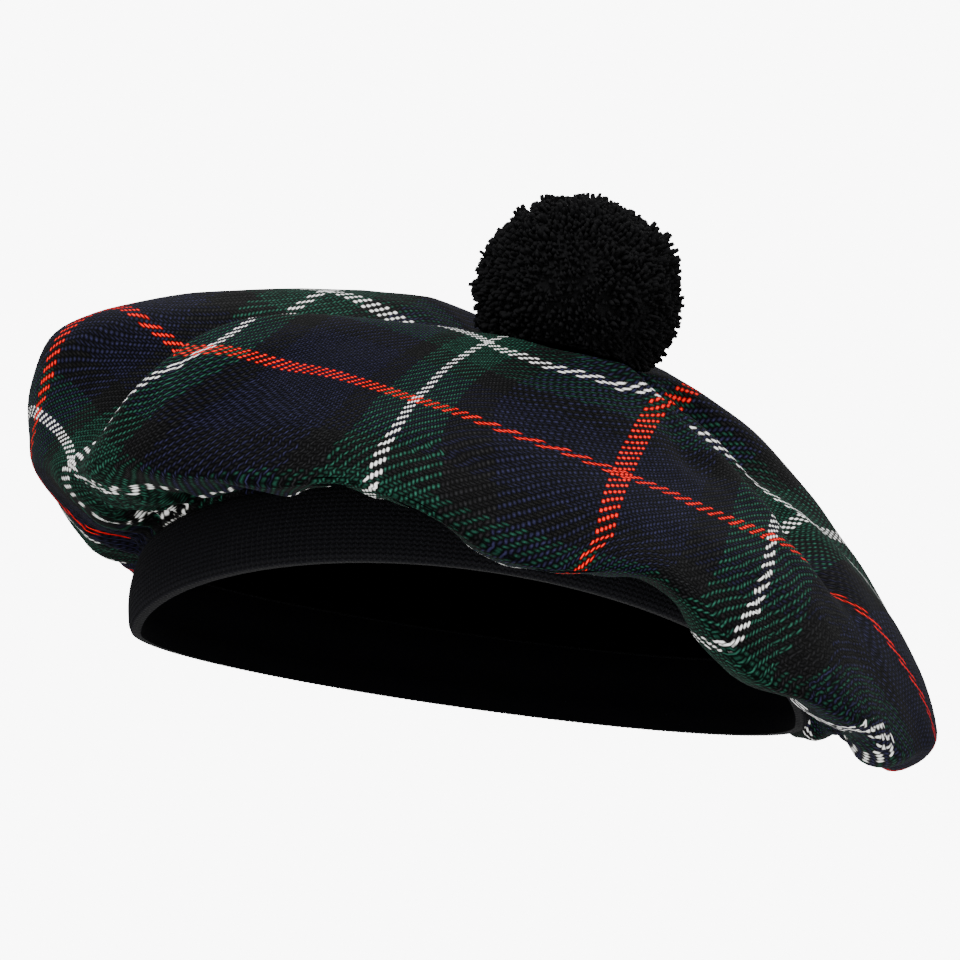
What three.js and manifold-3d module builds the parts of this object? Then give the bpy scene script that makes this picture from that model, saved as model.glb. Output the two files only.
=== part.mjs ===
// A tam o shanter as it is worn: a round woollen crown gathered into a ribbed knitted headband,
// with a cut pompom on top. Millimetres, +Z up the head, +X to the side where the crown hangs down,
// -Y to the front of the view. The origin is the centre of the headband's lower edge.

import * as THREE from "three";
import { mergeVertices } from "three/addons/utils/BufferGeometryUtils.js";
import Module from "manifold-3d";

const wasm = await Module();
wasm.setup();

// Driving dimensions
const CLOTH_THICKNESS = 2;
const GAP = 0.3;

const RIM_HALF_WIDTH = 90;
const RIM_HALF_DEPTH = 80;
const RIM_FRONT_ARCH = 17;
const RIM_BACK_ARCH = 6;
const RIM_ARCH_POWER = 1.25;

const BAND_HEIGHT = 20;
const BAND_THICKNESS = 3;
const BAND_BULGE = 1.6;
const BAND_RIBS = 90;
const RIB_DEPTH = 0.7;

const CROWN_CENTRE_X = 14.5;
const CROWN_CENTRE_HEIGHT = 88;
const CROWN_PAD_REACH = 15;
const CROWN_COLUMNS = 120;
const SEAM_INSET = 0.4;
const NECK_OUTSET = 2.4;
const NECK_RISE = 2.4;
// Steps of the mesh from each station of a section to the next, on the outside and the inside.
const OUTER_STEPS = [1, 1, 3, 4, 4, 3, 3, 1];
const INNER_STEPS = [1, 1, 2, 2, 2, 2, 1, 1];
// A section's curve eases into its stations in proportion to this power of the spans between them.
const SPAN_POWER = 0.75;
const NORMAL_STEP = 0.01;
const MERGE_TOLERANCE = 1e-4;

const GATHERS = 24;
const GATHER_DEPTH = 1.3;
const GATHER_START = 4.6;
const GATHER_END = 7.5;
const GATHER_LEAN = 1.4;

const POMPOM_HALF_WIDTH = 27.5;
const POMPOM_HALF_HEIGHT = 22.5;
const LOCK_COUNT = 44;
const LOCK_LENGTH = 7;
const LOCK_BASE_RADIUS = 5.8;
const LOCK_TIP_RADIUS = 3.8;
const LOCK_SIDES = 5;

// The crown's sections round the head, one row for each. Azimuth is in degrees from +X towards +Y.
// Each reach is measured out from the crown's own centre line and each height from the origin.
// The crest is the first rise round the pompom, the edge is the widest part, and the hem is the
// lowest part of the turn under to the headband.
const SECTION_COLUMNS = [
  "azimuth",
  "crestReach", "crestHeight",
  "shoulderReach", "shoulderHeight",
  "browReach", "browHeight",
  "edgeReach", "edgeHeight",
  "hemReach", "hemHeight",
];
const SECTIONS = [
  [8, 32, 88, 66, 73, 100, 45, 120, 12, 110, 0],
  [30, 34, 92, 72, 80, 104, 54, 121, 20, 108, 6],
  [60, 40, 98, 78, 90, 108, 66, 122, 34, 108, 16],
  [90, 44, 103, 82, 98, 112, 78, 122, 44, 108, 22],
  [120, 44, 105, 86, 103, 116, 86, 124, 52, 108, 25],
  [150, 44, 105, 94, 103, 122, 88, 126, 53, 109, 26],
  [166, 46, 102, 98, 98, 125, 83, 127, 50, 109, 25],
  [178, 44, 96, 88, 91, 114, 75, 124, 45, 107, 23],
  [190, 42, 90, 72, 85, 92, 71, 119, 38, 105, 21],
  [200, 38, 86, 60, 79, 81, 66, 115, 34, 104, 22],
  [212, 44, 88, 82, 83, 106, 66, 120, 32, 105, 23],
  [228, 36, 88, 76, 74, 102, 54, 117, 29, 103, 25],
  [243, 32, 87, 72, 66, 98, 48, 116, 28, 104, 27],
  [254, 30, 86, 70, 62, 96, 45, 115, 29, 104, 29],
  [265, 28, 85, 68, 59, 97, 40, 118, 21, 105, 22],
  [276, 28, 84, 70, 56, 100, 36, 123, 13, 107, 15],
  [289, 28, 83, 74, 53, 106, 34, 130, 15, 114, 16],
  [298, 28, 82, 80, 49, 116, 26, 142, -5, 124, 0],
  [307, 29, 82, 82, 48, 116, 24, 139, -8, 122, -4],
  [318, 30, 82, 80, 51, 110, 27, 134, -9, 118, -7],
  [328, 28, 77, 70, 51, 108, 25, 130, -12, 118, -13],
  [343, 32, 82, 70, 59, 102, 34, 127, -3, 114, -11],
  [353, 30, 83, 66, 62, 100, 38, 123, 4, 112, -6],
].map((row) => Object.fromEntries(SECTION_COLUMNS.map((column, i) => [column, row[i]])));

// The table's forms from the top outwards, and how much of the pompom's sideways offset each keeps.
const FORMS = [
  { name: "crest", offsetKept: 0.9 },
  { name: "shoulder", offsetKept: 0.5 },
  { name: "brow", offsetKept: 0.15 },
  { name: "edge", offsetKept: 0 },
  { name: "hem", offsetKept: 0 },
];
const PAD_STATION = 1;
const NECK_STATION = PAD_STATION + FORMS.length + 1;
const SEAM_STATION = NECK_STATION + 1;

// A smooth curve through the rows of one column, which closes after a full turn.
function sectionValue(column, degrees) {
  const count = SECTIONS.length;
  const at = (i) => {
    const wraps = Math.floor(i / count);
    const row = SECTIONS[i - count * wraps];
    return { x: row.azimuth + 360 * wraps, y: row[column] };
  };
  const x = ((degrees % 360) + 360) % 360;
  let first = SECTIONS.findIndex((row) => row.azimuth > x) - 1;
  if (first === -2) {
    first = count - 1;
  }
  const [before, low, high, after] = [at(first - 1), at(first), at(first + 1), at(first + 2)];
  const span = high.x - low.x;
  const t = (x - low.x) / span;
  const lowSlope = (high.y - before.y) / (high.x - before.x);
  const highSlope = (after.y - low.y) / (after.x - low.x);
  return hermite(low.y, lowSlope * span, high.y, highSlope * span, t);
}

function hermite(low, lowTangent, high, highTangent, t) {
  const t2 = t * t;
  const t3 = t2 * t;
  return (2 * t3 - 3 * t2 + 1) * low + (t3 - 2 * t2 + t) * lowTangent
    + (3 * t2 - 2 * t3) * high + (t3 - t2) * highTangent;
}

// The headband's lower edge dips at the two sides and arches over the front and back.
function rimHeight(azimuth) {
  const side = Math.sin(azimuth);
  const arch = side < 0 ? RIM_FRONT_ARCH : RIM_BACK_ARCH;
  return arch * Math.abs(side) ** RIM_ARCH_POWER;
}

function rimPoint(azimuth, inset, height) {
  return new THREE.Vector3(
    (RIM_HALF_WIDTH - inset) * Math.cos(azimuth),
    (RIM_HALF_DEPTH - inset) * Math.sin(azimuth),
    rimHeight(azimuth) + height,
  );
}

// The stations of the crown's section at one azimuth, from the pad outwards. The cloth passes over a
// neck just above the headband and comes down on the band's upper edge at the seam.
function sectionStations(azimuth) {
  const degrees = THREE.MathUtils.radToDeg(azimuth);
  const place = (reach, height, offsetKept) => new THREE.Vector3(
    CROWN_CENTRE_X * offsetKept + reach * Math.cos(azimuth), reach * Math.sin(azimuth), height,
  );
  return [
    place(CROWN_PAD_REACH, CROWN_CENTRE_HEIGHT, 1),
    ...FORMS.map(({ name, offsetKept }) => place(
      sectionValue(`${name}Reach`, degrees), sectionValue(`${name}Height`, degrees), offsetKept,
    )),
    rimPoint(azimuth, -NECK_OUTSET, BAND_HEIGHT + NECK_RISE),
    rimPoint(azimuth, SEAM_INSET, BAND_HEIGHT + GAP),
  ];
}

// Station 0 is the middle of the crown. The pad's rim, the table's forms, the neck and the seam
// follow it outwards, one station each.
function crownPoint(azimuth, station) {
  const stations = sectionStations(azimuth);
  if (station <= PAD_STATION) {
    const centre = new THREE.Vector3(CROWN_CENTRE_X, 0, CROWN_CENTRE_HEIGHT);
    return centre.lerp(stations[0], station);
  }
  const last = stations.length - 1;
  const k = Math.min(Math.floor(station - PAD_STATION), last - 1);
  const spans = [];
  for (let i = 0; i < last; i += 1) {
    spans.push(stations[i].distanceTo(stations[i + 1]) ** SPAN_POWER);
  }
  const tangent = (i) => {
    if (i === 0) {
      return stations[1].clone().sub(stations[0]).divideScalar(spans[0]).setZ(0);
    }
    if (i === last) {
      return stations[last].clone().sub(stations[last - 1]).divideScalar(spans[last - 1]);
    }
    return stations[i + 1].clone().sub(stations[i - 1]).divideScalar(spans[i] + spans[i - 1]);
  };
  const t = station - PAD_STATION - k;
  const [low, high] = [stations[k], stations[k + 1]];
  const [lowTangent, highTangent] = [tangent(k), tangent(k + 1)];
  const axis = (name) => hermite(
    low[name], lowTangent[name] * spans[k], high[name], highTangent[name] * spans[k], t,
  );
  return new THREE.Vector3(axis("x"), axis("y"), axis("z"));
}

function crownNormal(azimuth, station) {
  const low = Math.min(station, SEAM_STATION - NORMAL_STEP) - NORMAL_STEP;
  const along = crownPoint(azimuth, low + 2 * NORMAL_STEP).sub(crownPoint(azimuth, low));
  const around = crownPoint(azimuth + NORMAL_STEP, station)
    .sub(crownPoint(azimuth - NORMAL_STEP, station));
  return along.cross(around).normalize().negate();
}

// The gathers begin above the edge and end just short of the seam.
function gatherDepth(azimuth, station) {
  const rise = THREE.MathUtils.clamp((station - GATHER_START) / (GATHER_END - GATHER_START), 0, 1);
  return GATHER_DEPTH * Math.sin(Math.PI * rise ** GATHER_LEAN) * Math.cos(GATHERS * azimuth);
}

function stationList(steps) {
  const list = [0];
  steps.forEach((count, k) => {
    for (let i = 1; i <= count; i += 1) {
      list.push(k + i / count);
    }
  });
  return list;
}

function geometryToSolid(geometry) {
  const bare = geometry.clone();
  bare.deleteAttribute("normal");
  bare.deleteAttribute("uv");
  const merged = mergeVertices(bare, MERGE_TOLERANCE);
  return new wasm.Manifold(new wasm.Mesh({
    numProp: 3,
    vertProperties: new Float32Array(merged.attributes.position.array),
    triVerts: new Uint32Array(merged.index.array),
  }));
}

function solidToGeometry(solid) {
  const mesh = solid.getMesh();
  const geometry = new THREE.BufferGeometry();
  geometry.setAttribute("position", new THREE.BufferAttribute(mesh.vertProperties, 3));
  geometry.setIndex(new THREE.BufferAttribute(mesh.triVerts, 1));
  geometry.computeVertexNormals();
  return geometry;
}

// A lathed ring whose vertices are then moved, column by column, to where place says.
function lathedForm(rows, columns, place) {
  const profile = rows.map((row) => new THREE.Vector2(row.radius, row.height));
  const geometry = new THREE.LatheGeometry(profile, columns);
  const position = geometry.attributes.position;
  for (let index = 0; index < position.count; index += 1) {
    const column = Math.floor(index / rows.length) % columns;
    const row = rows[index % rows.length];
    const point = place((2 * Math.PI * column) / columns, row);
    position.setXYZ(index, point.x, point.y, point.z);
  }
  geometry.computeVertexNormals();
  return geometry;
}

function makeCrown() {
  const outer = stationList(OUTER_STEPS).map((station) => ({ station, inset: 0 }));
  const inner = stationList(INNER_STEPS).map((station) => ({ station, inset: CLOTH_THICKNESS }));
  const rows = [...outer, ...inner.reverse()];
  rows.forEach((row) => {
    row.radius = row.station;
    row.height = -row.inset;
  });
  return lathedForm(rows, CROWN_COLUMNS, (azimuth, row) => {
    if (row.station === 0) {
      return new THREE.Vector3(CROWN_CENTRE_X, 0, CROWN_CENTRE_HEIGHT - row.inset);
    }
    if (row.station === SEAM_STATION) {
      return rimPoint(azimuth, SEAM_INSET + row.inset, BAND_HEIGHT + GAP);
    }
    const move = gatherDepth(azimuth, row.station) - row.inset;
    return crownPoint(azimuth, row.station)
      .addScaledVector(crownNormal(azimuth, row.station), move);
  });
}

// The band is one closed ring with its outer face ribbed.
function makeHeadband() {
  const rows = [
    { side: 0, rise: 0 },
    { side: 0, rise: 0.5 },
    { side: 0, rise: 1 },
    { side: 1, rise: 1 },
    { side: 1, rise: 0.5 },
    { side: 1, rise: 0 },
    { side: 0, rise: 0 },
  ];
  rows.forEach((row) => {
    row.radius = RIM_HALF_WIDTH - row.side * BAND_THICKNESS;
    row.height = row.rise * BAND_HEIGHT;
  });
  return lathedForm(rows, 2 * BAND_RIBS, (azimuth, row) => {
    const rib = 0.5 * RIB_DEPTH * (1 - Math.cos(BAND_RIBS * azimuth)) * (1 - row.side);
    const bulge = BAND_BULGE * Math.sin(Math.PI * row.rise);
    return rimPoint(azimuth, row.side * BAND_THICKNESS + rib - bulge, row.rise * BAND_HEIGHT);
  });
}

// Cut yarn in blunt locks, fused to a round core and spread evenly over it.
function makePompom() {
  const core = new THREE.IcosahedronGeometry(1, 2);
  core.scale(
    POMPOM_HALF_WIDTH - LOCK_LENGTH / 2,
    POMPOM_HALF_WIDTH - LOCK_LENGTH / 2,
    POMPOM_HALF_HEIGHT - LOCK_LENGTH / 2,
  );
  let solid = geometryToSolid(core);
  const goldenAngle = Math.PI * (3 - Math.sqrt(5));
  const up = new THREE.Vector3(0, 1, 0);
  for (let i = 0; i < LOCK_COUNT; i += 1) {
    const height = 1 - (2 * (i + 0.5)) / LOCK_COUNT;
    const around = Math.sqrt(1 - height * height);
    const direction = new THREE.Vector3(
      around * Math.cos(goldenAngle * i),
      around * Math.sin(goldenAngle * i),
      height,
    );
    const lock = new THREE.CylinderGeometry(LOCK_TIP_RADIUS, LOCK_BASE_RADIUS, LOCK_LENGTH, LOCK_SIDES, 1);
    lock.applyQuaternion(new THREE.Quaternion().setFromUnitVectors(up, direction));
    lock.translate(
      direction.x * (POMPOM_HALF_WIDTH - LOCK_LENGTH / 2),
      direction.y * (POMPOM_HALF_WIDTH - LOCK_LENGTH / 2),
      direction.z * (POMPOM_HALF_HEIGHT - LOCK_LENGTH / 2),
    );
    solid = solid.add(geometryToSolid(lock));
  }
  return solidToGeometry(solid);
}

const tartanWool = new THREE.MeshStandardMaterial({ color: "#1b3329", roughness: 0.9, metalness: 0 });
const blackKnit = new THREE.MeshStandardMaterial({ color: "#0c0b0e", roughness: 0.95, metalness: 0 });
const blackYarn = new THREE.MeshStandardMaterial({ color: "#0a0a0c", roughness: 1, metalness: 0 });

const tam = new THREE.Group();

const crown = new THREE.Mesh(makeCrown(), tartanWool);
crown.name = "crown";
tam.add(crown);

const headband = new THREE.Mesh(makeHeadband(), blackKnit);
headband.name = "headband";
tam.add(headband);

const pompom = new THREE.Mesh(makePompom(), blackYarn);
pompom.name = "pompom";
pompom.position.set(CROWN_CENTRE_X, 0, CROWN_CENTRE_HEIGHT + GAP + POMPOM_HALF_HEIGHT);
tam.add(pompom);

export default tam;
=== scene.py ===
"""A worn tam o shanter: a slack tartan wool crown, a ribbed knitted headband and a cut yarn pompom.

Metres, +Z up the head, +X to the side where the crown hangs down and -Y to the front of the view.
"""

import math
import random

import bmesh
import bpy
import numpy as np
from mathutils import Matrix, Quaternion, Vector, kdtree, noise


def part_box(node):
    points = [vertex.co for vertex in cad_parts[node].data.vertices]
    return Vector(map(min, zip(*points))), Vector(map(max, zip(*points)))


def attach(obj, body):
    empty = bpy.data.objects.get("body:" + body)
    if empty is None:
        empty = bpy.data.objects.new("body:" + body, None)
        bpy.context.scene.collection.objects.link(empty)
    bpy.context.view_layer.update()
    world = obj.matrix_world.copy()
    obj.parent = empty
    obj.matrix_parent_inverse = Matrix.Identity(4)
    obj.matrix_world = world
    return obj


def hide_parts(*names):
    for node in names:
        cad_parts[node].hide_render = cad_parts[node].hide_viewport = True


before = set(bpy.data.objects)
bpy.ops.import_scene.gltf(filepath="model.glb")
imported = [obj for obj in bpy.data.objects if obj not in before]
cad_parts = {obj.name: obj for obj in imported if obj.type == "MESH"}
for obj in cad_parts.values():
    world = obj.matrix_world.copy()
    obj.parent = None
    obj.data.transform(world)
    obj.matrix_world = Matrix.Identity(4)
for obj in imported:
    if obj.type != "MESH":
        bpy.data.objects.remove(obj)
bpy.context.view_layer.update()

bl_info = {
    "name": "Tam o Shanter",
    "version": (1, 0, 0),
    "blender": (4, 5, 0),
    "location": "3D View > Sidebar > Tam",
    "description": "Makes a worn tartan tam with a knitted headband and a yarn pompom",
    "category": "Add Mesh",
}

MM = 0.001
TURN = 2 * math.pi

# The headband's rim, as the frame's solids have it but for its back, which hangs 2.5 mm lower.
RIM_HALF_WIDTH = 90 * MM
RIM_HALF_DEPTH = 80 * MM
RIM_FRONT_ARCH = 17 * MM
RIM_BACK_ARCH = 3.5 * MM
RIM_ARCH_POWER = 1.25
BAND_HEIGHT = 20 * MM
BAND_BULGE = 1.6 * MM

# The crown's sections round the head, one row for each. Azimuth is in degrees from +X towards +Y,
# and the reaches and heights are in millimetres.
SECTION_COLUMNS = (
    "azimuth", "crest_reach", "crest_height", "shoulder_reach", "shoulder_height",
    "brow_reach", "brow_height", "edge_reach", "edge_height", "hem_reach", "hem_height",
)
SECTIONS = (
    (8, 32, 88, 66, 73, 100, 45, 120, 12, 110, 0),
    (30, 34, 92, 72, 80, 104, 54, 121, 20, 108, 6),
    (60, 40, 98, 78, 90, 108, 66, 122, 34, 108, 16),
    (90, 44, 103, 82, 98, 112, 78, 122, 44, 108, 22),
    (120, 44, 105, 86, 103, 116, 86, 124, 52, 108, 25),
    (150, 44, 105, 94, 103, 124, 89, 126, 53, 109, 26),
    (166, 46, 101, 98, 97, 129, 83, 127, 50, 109, 27),
    (178, 44, 95, 88, 91, 119, 77, 124, 46, 107, 27),
    (190, 42, 90, 72, 85, 94, 72, 119, 40, 105, 25),
    (200, 38, 86, 60, 79, 83, 67, 115, 36, 104, 26),
    (212, 44, 88, 82, 83, 106, 66, 119, 34, 105, 27),
    (228, 36, 88, 76, 74, 102, 54, 117, 30, 103, 28),
    (243, 32, 87, 72, 66, 98, 48, 116, 28, 104, 29),
    (254, 30, 86, 70, 62, 96, 45, 115, 29, 104, 29),
    (265, 28, 85, 68, 59, 97, 40, 118, 21, 105, 22),
    (276, 28, 84, 70, 56, 100, 36, 123, 13, 107, 15),
    (289, 28, 83, 74, 53, 106, 34, 130, 15, 114, 16),
    (298, 28, 82, 80, 49, 116, 26, 142, -5, 124, 0),
    (307, 29, 82, 82, 48, 116, 24, 139, -8, 122, -4),
    (318, 30, 82, 80, 51, 110, 27, 134, -9, 118, -7),
    (328, 28, 77, 70, 51, 108, 25, 130, -12, 118, -13),
    (343, 32, 82, 70, 59, 102, 34, 127, -3, 114, -11),
    (353, 30, 83, 66, 62, 100, 38, 123, 4, 112, -6),
)
# The crown's forms from the pad outwards, and how much of the sideways hang each one keeps.
FORMS = (("crest", 0.9), ("shoulder", 0.5), ("brow", 0.15), ("edge", 0.0), ("hem", 0.0))
CENTRE_X = 14.5 * MM
CENTRE_HEIGHT = 88 * MM
PAD_REACH = 15 * MM
SEAM_INSET = 0.4 * MM
NECK_OUTSET = 2.4 * MM
NECK_RISE = 2.4 * MM
GAP = 0.3 * MM
SPAN_POWER = 0.75
# The crown is cut as one round, as wide as its sections are long from seam to seam.
CROWN_COLUMNS = 480
CROWN_STEPS = (3, 5, 9, 12, 12, 10, 9, 4)

# The crown's small folds. Their places are counted in forms from the middle of the pad.
SEAM_PLACE = len(CROWN_STEPS)
SEAM_FADE = 0.35
SLACK_FOLDS = 24
SLACK_DEPTH = 1.3 * MM
SLACK_START = 4.6
SLACK_LENGTH = 2.9
SLACK_SKEW = 1.4
GATHERS = 66
GATHER_START = 5.4
GATHER_RISE = 1.3
GATHER_WANDER = 4
GATHER_WANDER_SIZE = 45 * MM
WRINKLE_START = 0.8
WRINKLE_RISE = 0.8
WRINKLE_END = 7.2
WRINKLE_FADE = 1.2
WRINKLE_SIZE = 34 * MM
CREASE_SIZE = 14 * MM
CREASE_SHARE = 0.45

# How the cloth lies round the head: how far its threads turn from the head's own azimuth, and how
# much more cloth than surface there is, because the rest is taken up in folds.
CLOTH_LAY_COLUMNS = ("azimuth", "turn", "fullness")
CLOTH_LAY = (
    (10, 15, 1.0),
    (60, 22, 1.05),
    (120, 34, 1.2),
    (160, 40, 1.45),
    (190, 32, 1.4),
    (215, 20, 1.08),
    (245, 15, 1.0),
    (300, 15, 1.0),
)
# Where the tartan's thin lines show in the 960 pixel view, each line with the points it passes.
# Lines are counted in half stripes from a white line: even ones are white and odd ones 1 and -3
# are red. At 1.7 there is no line, but black yarn gives way to green.
LINES_ACROSS = (
    (0, ((331, 294), (425, 322), (470, 335), (540, 362), (600, 383), (660, 398))),
    (0, ((760, 474), (793, 500), (818, 515), (855, 563))),
    (1, (
        (127, 307), (155, 328), (185, 349), (235, 346), (260, 354), (330, 374), (415, 398),
        (520, 437),
    )),
    (1, ((625, 472), (700, 505), (775, 540), (820, 572), (856, 600), (884, 627))),
    (2, ((39, 407), (60, 433), (78, 460), (92, 483), (108, 493), (125, 489))),
    (2, ((852, 729), (880, 755))),
    (1.7, ((790, 674),)),
    (1.7, ((235, 474), (300, 474), (375, 468), (430, 497), (600, 552), (668, 584), (722, 641))),
)
LINES_ALONG = (
    (-3, ((84, 315), (53, 342), (45, 396), (45, 499), (63, 516))),
    (-2, (
        (331, 294), (245, 328), (185, 349), (140, 382), (97, 418), (82, 450), (79, 480),
        (86, 512),
    )),
    (0, ((484, 343), (450, 360), (415, 398), (390, 440), (375, 478))),
    (1, ((664, 404), (645, 438), (625, 472), (605, 520), (590, 557))),
    (2, ((765, 495), (775, 540), (760, 590), (720, 648))),
)
# Where the cloth doubles under itself beside a ridge: how deep and how wide each fold is in
# millimetres, and the points that it passes in the same view.
FOLDS = (
    (2.4, 9, ((361, 311), (306, 312), (245, 321), (184, 345), (163, 372), (134, 413), (98, 446))),
    (4.0, 8, ((672, 394), (700, 407), (741, 454), (789, 507), (814, 542), (831, 570), (850, 607))),
    (3.0, 6, ((672, 409), (683, 431), (697, 458), (716, 487))),
)
# A fold is drawn through so many points from mark to mark, and fades over so many at its ends.
FOLD_SAMPLES = 12
FOLD_FADE = 14
# How far a mark's pull reaches. It is followed less closely where the cloth is seen edge on,
# because it says less there.
LINE_SPREAD = 70 * MM
LINE_SOFTNESS = 2e-2
LEAST_FACING = 0.15
# A half stripe in millimetres, and where the pad's middle lies on the cloth in half stripes.
HALF_STRIPE = 59.5
CLOTH_CENTRE = (-0.35, 0.38)
# The cloth is set to its marks and then let out, a few times over. A neighbouring pair of its
# points may lie closer or further apart than on the surface by these shares, and the rest is
# taken up in small folds.
CLOTH_ROUNDS = 5
EASE_STEPS = 120
EASE_SHARE = 0.13
LEAST_STRETCH = 0.86
LEAST_BIAS_STRETCH = 0.75
MOST_FULLNESS = 1.4

# One repeat of the tartan in half stripes, by where each ground colour starts, and its thin lines.
GROUNDS = (
    (0.0, "green"), (0.31, "black"), (0.54, "navy"), (1.46, "black"), (1.69, "green"),
    (2.31, "black"), (2.54, "navy"), (3.46, "black"), (3.69, "green"),
)
LINES = ((0, "white"), (1, "red"), (2, "white"))
HALF_WIDTHS_ACROSS = {"white": 0.0377, "red": 0.0566}
HALF_WIDTHS_ALONG = {"white": 0.0377, "red": 0.0566}
SETT_HALF_STRIPES = 4
THREADS_A_HALF_STRIPE = 53
THREAD_PITCH = HALF_STRIPE / THREADS_A_HALF_STRIPE
TWILL_REPEAT = 4.0
TWILL_FLOAT = 2.0
# The across yarn's dark grounds are painted darker, as painted shade for floats that catch less
# light.
SHADED_GROUND_TONE = 0.55
YARNS = ("white", "red", "green", "navy", "black")
# How the yarn's tone varies: by how far the threads wander in millimetres, by painted shade in the
# hollows between the floats and painted highlight on their crests, from thread to thread, and by
# fibre and by patch of cloth.
WOBBLE = 1.1
WOBBLE_SCALE = 0.09
BEAD_SHADE_TONES = (0.06, 3.3)
UNEVEN_TONES = (0.5, 1.5)
NOISE_RANGE = (0.3, 0.7)
FIBRE_SCALE = 1.6
FIBRE_TONES = (0.5, 1.6)
FUZZ_HEIGHT = 0.5
MOTTLE_SCALE = 0.07
MOTTLE_TONES = (0.9, 1.1)
BRIGHTEST_YARN = 0.9
# How wide the lumps of fibre are on the cloth's wrong side.
REVERSE_FIBRE = MM / 0.9

# The headband's knit: its ribs' depth, its stitches in millimetres, and its section, in which
# side goes from its outside at 0 to its inside at 1 and rise from its lower to its upper edge.
BAND_THICKNESS = 3 * MM
RIB_DEPTH = 0.7 * MM
RIB_COLUMNS = 4
STITCH_WIDTH = 1.6
STITCH_HEIGHT = 1.2
KNIT_FUZZ = 0.6
# The knit's tones, from painted shade between its loops to painted highlight on them.
KNIT_SHADE_TONES = (0.35, 1.7)
BAND_STEPS = 12
BAND_TOP = 1.05
BAND_EDGE = 0.5 * MM
BAND_RETURN = (
    (0.5, BAND_TOP), (1.0, 1.0), (1.0, 0.66), (1.0, 0.33), (1.0, 0.0), (0.5, -0.02),
)

# The pompom's own weight presses it into the slack crown, and its lowest yarn spreads on the cloth.
# It rests on no more of the crown than its first forms, from the pad to the shoulder.
POMPOM_SINK = 9 * MM
YARN_CLEARANCE = 1.5 * MM
SEAT_FORMS = 3
# A few strands stand out on the pompom's upper right.
LOOSE_TUFT = Vector((0.75, -0.25, 0.61)).normalized()
LOOSE_TUFT_EDGE = 0.972
LOOSE_TUFT_LENGTH = 0.07
# The strands, in shares of the pompom's own half sizes: where one starts and ends, how it leans
# and how long it is by noise and by chance, with its width in millimetres.
STRAND_SIDES = 3
STRAND_START = 0.8
STRAND_RINGS = ((0.0, 0.8), (0.5, 1.0), (0.9, 1.15), (1.0, 0.85))
STRAND_LENGTH = 0.99
STRAND_WAVES = 0.03
STRAND_WAVE_SCALE = 6
STRAND_CHANCE = (-0.03, 0.015)
STRAND_WIDTHS = (0.5, 0.75)
STRAND_TONES = (0.75, 1.3)
STRAND_FIBRE = MM / 0.7
TUFT_LEAN = 0.05
TUFT_SCALE = 4.5
STRAY_LEAN = 0.035
# The bound middle under the strands, with its broad and its small lumps.
CORE_SIZE = 0.925
CORE_LUMP = 0.02
CORE_LUMP_SCALES = (5, 24)
CORE_SUBDIVISIONS = 4

# The camera looks up at the tam from a little below, and leans so that the tam's rim slopes.
CAMERA_TARGET = Vector((-4.2 * MM, 0, 53.6 * MM))
CAMERA_DISTANCE = 1.6
CAMERA_ELEVATION = math.radians(-10)
CAMERA_ROLL = math.atan2(0.1405, 0.990)
CAMERA_SENSOR = 36
CAMERA_CLIP = (0.05, 50)
VIEW_WIDTH = 254.4 * MM
PICTURE_WIDTH = 960
# How far in pixels from a mark its points may show, how far behind the nearest, and how many.
MARK_REACH = 14
MARK_DEPTH = 15 * MM
MARK_POINTS = 4

FLOOR_HEIGHT = -0.4
FLOOR_REACH = 12
WALL_BRIGHTNESS = 9.0
GLOW_BRIGHTNESS = 0.85
# The studio's soft boxes: where each one stands and how wide it is in metres, and its watts.
SOFTBOXES = (
    ("key", (-0.7, -1.3, 1.3), 0.8, 48),
    ("fill", (1.3, -1.0, 0.5), 1.0, 12),
    ("back", (0.1, 1.0, 1.7), 0.9, 12),
)


def linear(hex_code):
    """Turn an sRGB hex colour such as 1e3a2e into Blender's linear colour."""
    values = [int(hex_code[i:i + 2], 16) / 255 for i in (0, 2, 4)]
    return tuple(v / 12.92 if v <= 0.04045 else ((v + 0.055) / 1.055) ** 2.4 for v in values)


def periodic(table, column, degrees):
    """A smooth curve through one column of a table whose rows go once round the head."""
    x = np.array([row[0] for row in table], float)
    y = np.array([row[column] for row in table], float)
    x = np.concatenate([x[-2:] - 360, x, x[:2] + 360])
    y = np.concatenate([y[-2:], y, y[:2]])
    slope = np.zeros_like(y)
    slope[1:-1] = (y[2:] - y[:-2]) / (x[2:] - x[:-2])
    at = np.mod(degrees, 360)
    low = np.clip(np.searchsorted(x, at, side="right") - 1, 1, len(x) - 3)
    span = x[low + 1] - x[low]
    t = (at - x[low]) / span
    return hermite(y[low], slope[low] * span, y[low + 1], slope[low + 1] * span, t)


def hermite(low, low_tangent, high, high_tangent, t):
    """The cubic curve between two points with the given tangents, at t from 0 to 1."""
    t2, t3 = t * t, t * t * t
    return (
        (2 * t3 - 3 * t2 + 1) * low + (t3 - 2 * t2 + t) * low_tangent
        + (3 * t2 - 2 * t3) * high + (t3 - t2) * high_tangent
    )


def rim_point(azimuth, inset, height):
    """A point of the headband's rim, moved in by inset and up by height."""
    side = np.sin(azimuth)
    arch = np.where(side < 0, RIM_FRONT_ARCH, RIM_BACK_ARCH) * np.abs(side) ** RIM_ARCH_POWER
    x = (RIM_HALF_WIDTH - inset) * np.cos(azimuth)
    y = (RIM_HALF_DEPTH - inset) * side
    return np.stack([x, y, arch + height], axis=-1)


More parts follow.
